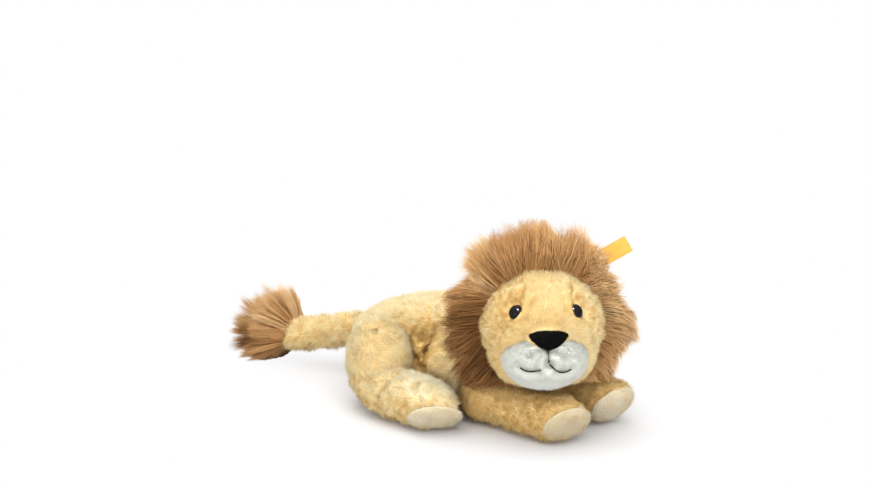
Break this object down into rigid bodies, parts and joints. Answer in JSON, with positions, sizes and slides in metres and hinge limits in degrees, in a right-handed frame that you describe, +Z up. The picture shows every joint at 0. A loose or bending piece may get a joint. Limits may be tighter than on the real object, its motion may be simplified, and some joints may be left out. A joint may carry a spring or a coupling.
{
  "type": "plush lion",
  "caption": "Lying plush lion with a long-pile mane and tail tassel, a turned head, a white muzzle, black eyes and stretched front paws.",
  "frame": {"origin": "middle of the bounding box's base, on the surface that the lion lies on", "axes": "+Z up, -Y the way the body faces, from the tail to the front paws; the lion's right side is -X"},
  "size_m": [0.1828, 0.364, 0.1557],
  "materials": {
    "cream_plush": "short cream plush",
    "fibre_filling": "loose white polyester fibre",
    "brown_long_pile": "long brown pile",
    "white_plush": "short white plush",
    "beige_plush": "short beige plush",
    "black_velour": "matt black velour",
    "black_eye": "polished black",
    "washer_plastic": "natural moulded",
    "black_thread": "stitched thread",
    "white_thread": "stitched thread",
    "yellow_ribbon": "woven ribbon, bare"
  },
  "bodies": {
    "torso": {"torso_cover": "cream_plush", "torso_filling": "fibre_filling"},
    "head": {"head_cover": "cream_plush", "head_filling": "fibre_filling", "mane": "brown_long_pile", "muzzle": "white_plush", "nose": "black_velour", "eye_right": "black_eye", "eye_left": "black_eye", "eye_washer_right": "washer_plastic", "eye_washer_left": "washer_plastic", "lip_thread": "black_thread", "mouth_thread_right": "black_thread", "mouth_thread_left": "black_thread", "dimple_thread_right": "white_thread", "dimple_thread_left": "white_thread"},
    "right_ear": {"ear_right": "brown_long_pile"},
    "left_ear": {"ear_left": "brown_long_pile"},
    "tab": {"ribbon_tab": "yellow_ribbon"},
    "front_right_leg": {"front_leg_right_cover": "cream_plush", "front_leg_right_filling": "fibre_filling", "front_sole_right": "beige_plush"},
    "front_left_leg": {"front_leg_left_cover": "cream_plush", "front_leg_left_filling": "fibre_filling", "front_sole_left": "beige_plush"},
    "rear_right_leg": {"rear_leg_right_cover": "cream_plush", "rear_leg_right_filling": "fibre_filling", "rear_sole_right": "beige_plush"},
    "rear_left_leg": {"rear_leg_left_cover": "cream_plush", "rear_leg_left_filling": "fibre_filling", "rear_sole_left": "beige_plush"},
    "tail": {"tail_cover": "cream_plush", "tail_filling": "fibre_filling", "tail_tassel": "brown_long_pile"}
  },
  "joints": [
    {"name": "head_turn", "type": "hinge", "parent": "torso", "child": "head", "pos_m": [0, -0.0517, 0.0425], "axis": [0, 0, 1], "range_deg": [-15, 15], "stiffness_Nm_per_rad": 0.2},
    {"name": "right_ear_fold", "type": "hinge", "parent": "head", "child": "right_ear", "pos_m": [-0.0294, -0.1028, 0.1203], "axis": [0.5224, -0.5602, 0.6428], "range_deg": [-12, 12], "stiffness_Nm_per_rad": 0.01},
    {"name": "left_ear_fold", "type": "hinge", "parent": "head", "child": "left_ear", "pos_m": [0.0108, -0.1458, 0.1203], "axis": [0.5224, -0.5602, -0.6428], "range_deg": [-12, 12], "stiffness_Nm_per_rad": 0.01},
    {"name": "tab_flap", "type": "hinge", "parent": "left_ear", "child": "tab", "pos_m": [0.0246, -0.1607, 0.1348], "axis": [0.341, -0.3657, -0.866], "range_deg": [-30, 30], "stiffness_Nm_per_rad": 0.0003},
    {"name": "front_right_swing", "type": "hinge", "parent": "torso", "child": "front_right_leg", "pos_m": [-0.0285, -0.0857, 0.02], "axis": [0, 0, -1], "range_deg": [-2, 20], "stiffness_Nm_per_rad": 0.06},
    {"name": "front_left_swing", "type": "hinge", "parent": "torso", "child": "front_left_leg", "pos_m": [0.0285, -0.0857, 0.02], "axis": [0, 0, 1], "range_deg": [-2, 20], "stiffness_Nm_per_rad": 0.06},
    {"name": "rear_right_swing", "type": "hinge", "parent": "torso", "child": "rear_right_leg", "pos_m": [-0.0545, -0.0007, 0.0365], "axis": [0, 0, -1], "range_deg": [0, 30], "stiffness_Nm_per_rad": 0.08},
    {"name": "rear_left_swing", "type": "hinge", "parent": "torso", "child": "rear_left_leg", "pos_m": [0.0545, -0.0007, 0.0365], "axis": [0, 0, 1], "range_deg": [0, 30], "stiffness_Nm_per_rad": 0.08},
    {"name": "tail_swing", "type": "hinge", "parent": "torso", "child": "tail", "pos_m": [0, 0.0743, 0.0345], "axis": [0, 0, 1], "range_deg": [-30, 30], "stiffness_Nm_per_rad": 0.03}
  ]
}
